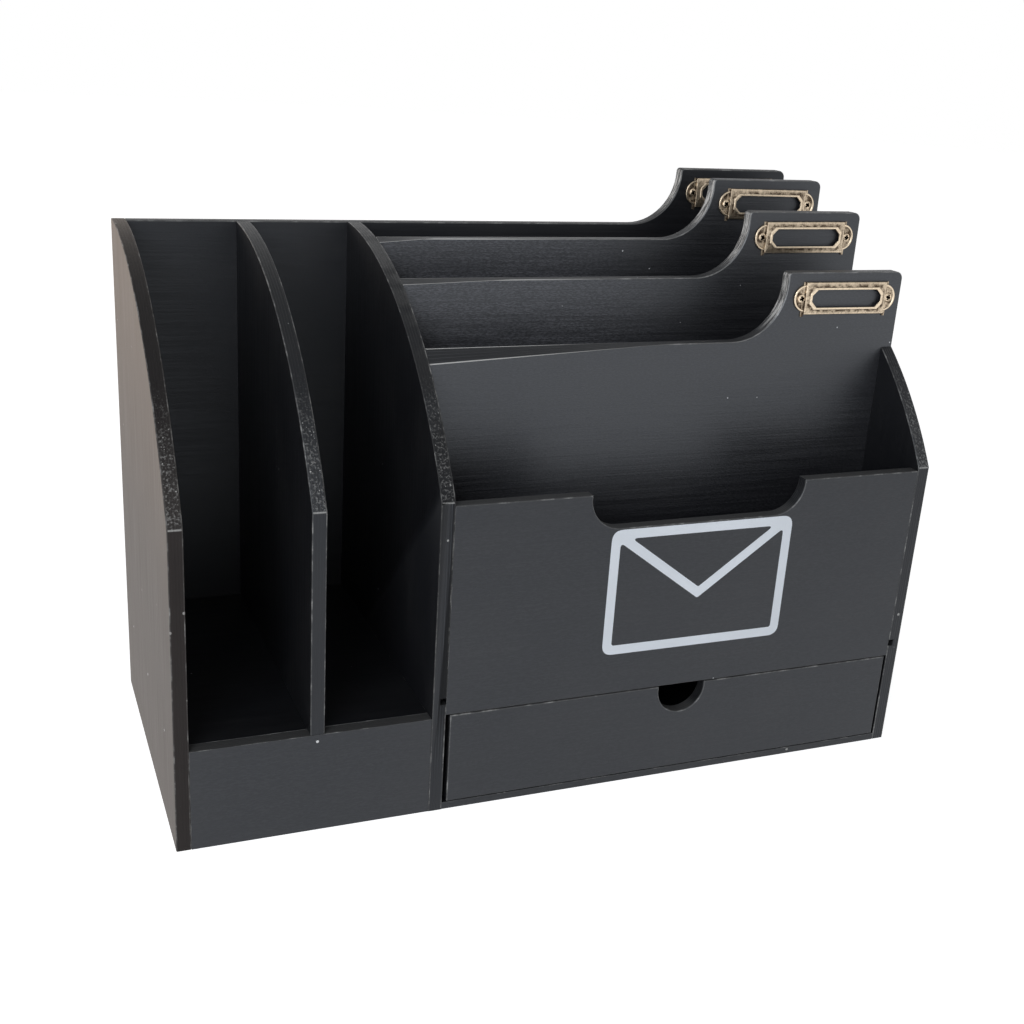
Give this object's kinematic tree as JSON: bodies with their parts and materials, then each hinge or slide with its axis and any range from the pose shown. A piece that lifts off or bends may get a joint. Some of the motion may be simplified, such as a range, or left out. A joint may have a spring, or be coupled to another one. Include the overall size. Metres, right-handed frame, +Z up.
{
  "type": "envelope sorter with drawer",
  "caption": "Black wooden desk sorter with upright slots, stepped letter pockets with tabbed dividers and label holders, and a shallow drawer under the pockets.",
  "frame": {"origin": "centre of the footprint, on the surface the sorter stands on", "axes": "+X to the user's right along the front, +Y to the back, +Z up"},
  "size_m": [0.4, 0.18, 0.3],
  "materials": {
    "black_wood": "satin black paint over sanded plywood",
    "antique_brass": "antiqued, rubbed on the ridges",
    "screw_brass": "antiqued",
    "steel": "plain wire"
  },
  "bodies": {
    "case": {"left_end_panel": "black_wood", "slot_divider": "black_wood", "bay_partition": "black_wood", "right_end_panel": "black_wood", "back_panel": "black_wood", "mail_divider_front": "black_wood", "mail_divider_middle": "black_wood", "mail_divider_rear": "black_wood", "mail_front_panel": "black_wood", "toe_board": "black_wood", "slot_floor": "black_wood", "mail_floor": "black_wood", "base_panel": "black_wood", "label_holder_front": "antique_brass", "label_holder_middle": "antique_brass", "label_holder_rear": "antique_brass", "label_holder_back": "antique_brass", "label_screws_front": "screw_brass", "label_screws_middle": "screw_brass", "label_screws_rear": "screw_brass", "label_screws_back": "screw_brass", "case_brads": "steel"},
    "drawer": {"drawer_front": "black_wood", "drawer_left_side": "black_wood", "drawer_right_side": "black_wood", "drawer_back": "black_wood", "drawer_bottom": "black_wood", "drawer_brads": "steel"}
  },
  "joints": [
    {"name": "drawer_slide", "type": "slide", "parent": "case", "child": "drawer", "axis": [0, -1, 0], "range_m": [0, 0.14]}
  ]
}
